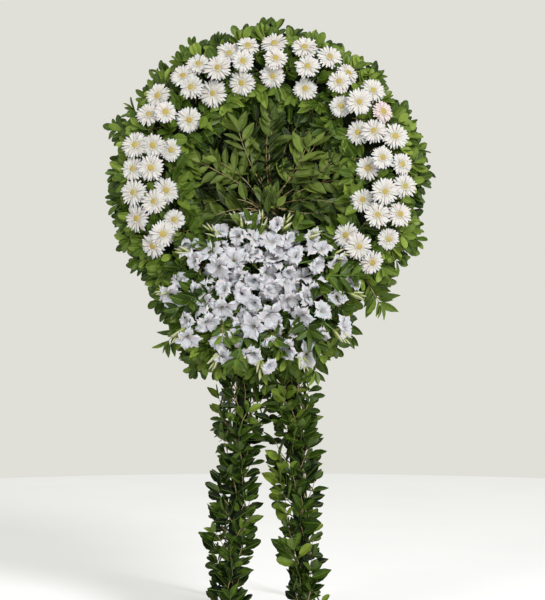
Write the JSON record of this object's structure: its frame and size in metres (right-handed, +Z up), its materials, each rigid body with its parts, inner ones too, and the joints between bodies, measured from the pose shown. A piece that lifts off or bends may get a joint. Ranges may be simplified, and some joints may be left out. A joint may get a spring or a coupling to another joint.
{
  "type": "floral wreath",
  "caption": "Round standing funeral wreath: leafy disc with a band of gerberas and a fan of gladioli, leaning on an easel with leaf-bound front legs.",
  "frame": {"origin": "on the floor under the middle of the bounding box", "axes": "+Z up, the wreath faces -Y and leans back towards +Y, +X is to the right of a viewer in front"},
  "size_m": [1.0444, 0.7276, 1.985],
  "materials": {
    "easel_wood": "bare softwood poles and rungs",
    "bolt_steel": "plain steel rod",
    "straw": "pressed straw mat bound with twine",
    "ring_leaves": "fresh glossy leaves, paler beneath",
    "centre_leaves": "fresh glossy leaves with brown twigs",
    "garland_leaves": "dark glossy leaves on reddish twigs",
    "gerbera_petals": "white matt petals round a pale yellow disc",
    "gladiolus_petals": "cool white ruffled petals and green-tipped buds"
  },
  "bodies": {
    "root": {"centre_spray_1": "centre_leaves", "centre_spray_2": "centre_leaves", "centre_spray_3": "centre_leaves", "centre_spray_4": "centre_leaves", "centre_spray_5": "centre_leaves", "centre_spray_6": "centre_leaves", "centre_spray_7": "centre_leaves", "front_leg_left": "easel_wood", "front_leg_right": "easel_wood", "front_rung_lower": "easel_wood", "front_rung_upper": "easel_wood", "garland_left": "garland_leaves", "garland_right": "garland_leaves", "gerberas_01": "gerbera_petals", "gerberas_02": "gerbera_petals", "gerberas_03": "gerbera_petals", "gerberas_04": "gerbera_petals", "gerberas_05": "gerbera_petals", "gerberas_06": "gerbera_petals", "gerberas_07": "gerbera_petals", "gerberas_08": "gerbera_petals", "gerberas_09": "gerbera_petals", "gerberas_10": "gerbera_petals", "gerberas_11": "gerbera_petals", "gerberas_12": "gerbera_petals", "gerberas_13": "gerbera_petals", "gladiolus_01": "gladiolus_petals", "gladiolus_02": "gladiolus_petals", "gladiolus_03": "gladiolus_petals", "gladiolus_04": "gladiolus_petals", "gladiolus_05": "gladiolus_petals", "gladiolus_06": "gladiolus_petals", "gladiolus_07": "gladiolus_petals", "gladiolus_08": "gladiolus_petals", "gladiolus_09": "gladiolus_petals", "gladiolus_10": "gladiolus_petals", "gladiolus_11": "gladiolus_petals", "gladiolus_12": "gladiolus_petals", "gladiolus_13": "gladiolus_petals", "gladiolus_14": "gladiolus_petals", "rear_leg_left": "easel_wood", "rear_leg_right": "easel_wood", "rear_rung": "easel_wood", "ring_foliage_01": "ring_leaves", "ring_foliage_02": "ring_leaves", "ring_foliage_03": "ring_leaves", "ring_foliage_04": "ring_leaves", "ring_foliage_05": "ring_leaves", "ring_foliage_06": "ring_leaves", "ring_foliage_07": "ring_leaves", "ring_foliage_08": "ring_leaves", "ring_foliage_09": "ring_leaves", "ring_foliage_10": "ring_leaves", "ring_foliage_11": "ring_leaves", "ring_foliage_12": "ring_leaves", "side_rail_left": "easel_wood", "side_rail_right": "easel_wood", "straw_base": "straw", "top_bolt": "bolt_steel"}
  },
  "joints": []
}
